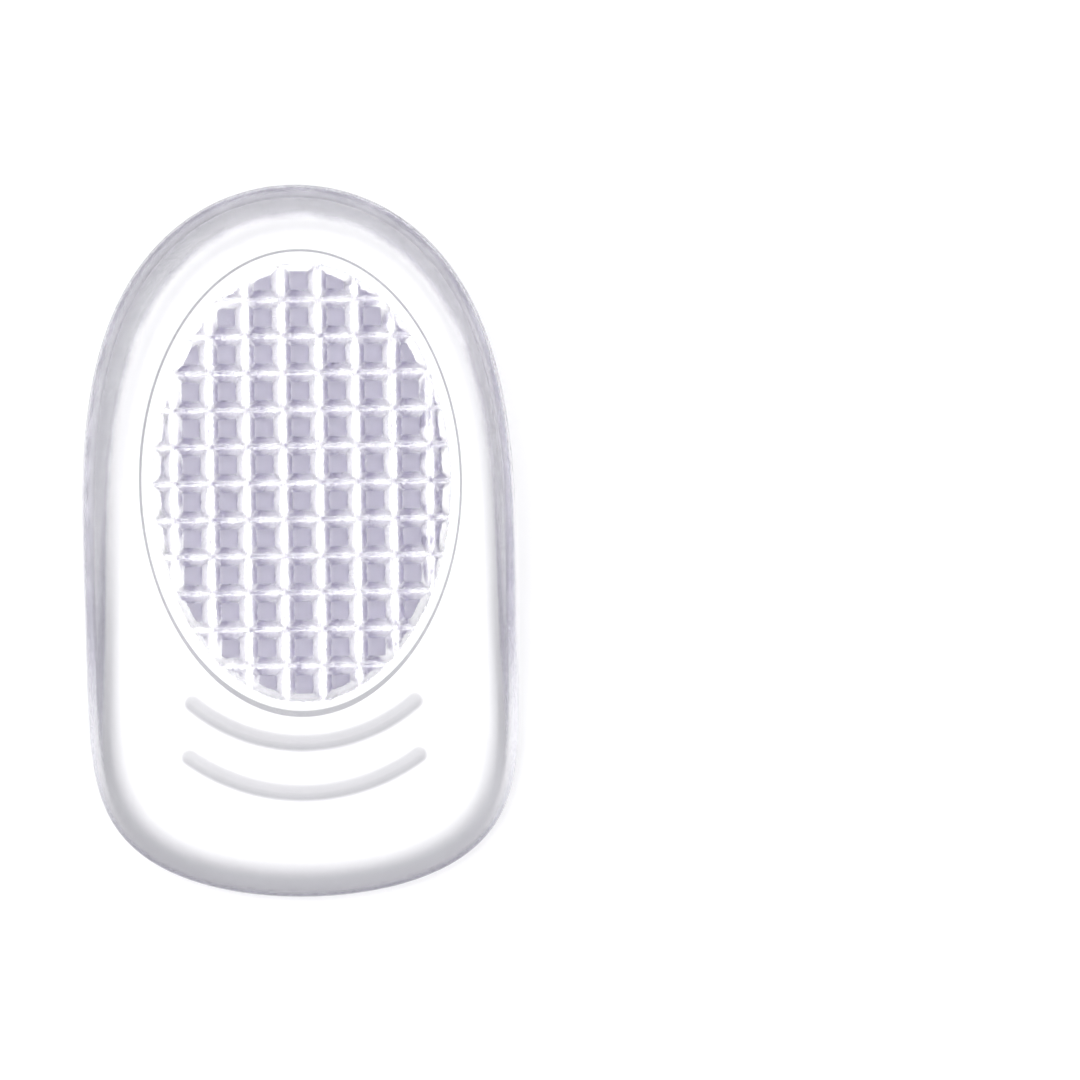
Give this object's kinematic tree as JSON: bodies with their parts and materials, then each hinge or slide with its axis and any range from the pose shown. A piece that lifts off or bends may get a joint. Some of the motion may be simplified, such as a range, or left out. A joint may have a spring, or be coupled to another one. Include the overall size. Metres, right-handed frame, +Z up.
{
  "type": "heel cup",
  "caption": "Clear gel heel cup with a raised wall round the heel, a rounded front edge, an oval seat, curved ribs and a field of square pockets in the sole side.",
  "frame": {"origin": "on the ground, under the middle of the cup's box", "axes": "+Z up, +Y towards the back of the heel, +X to the right seen from above with the heel away from the viewer"},
  "size_m": [0.064, 0.105, 0.02],
  "materials": {
    "gel": "smooth, clear and slightly lilac gel, glossy, with soft edges"
  },
  "bodies": {
    "root": {"gel_cup": "gel"}
  },
  "joints": []
}
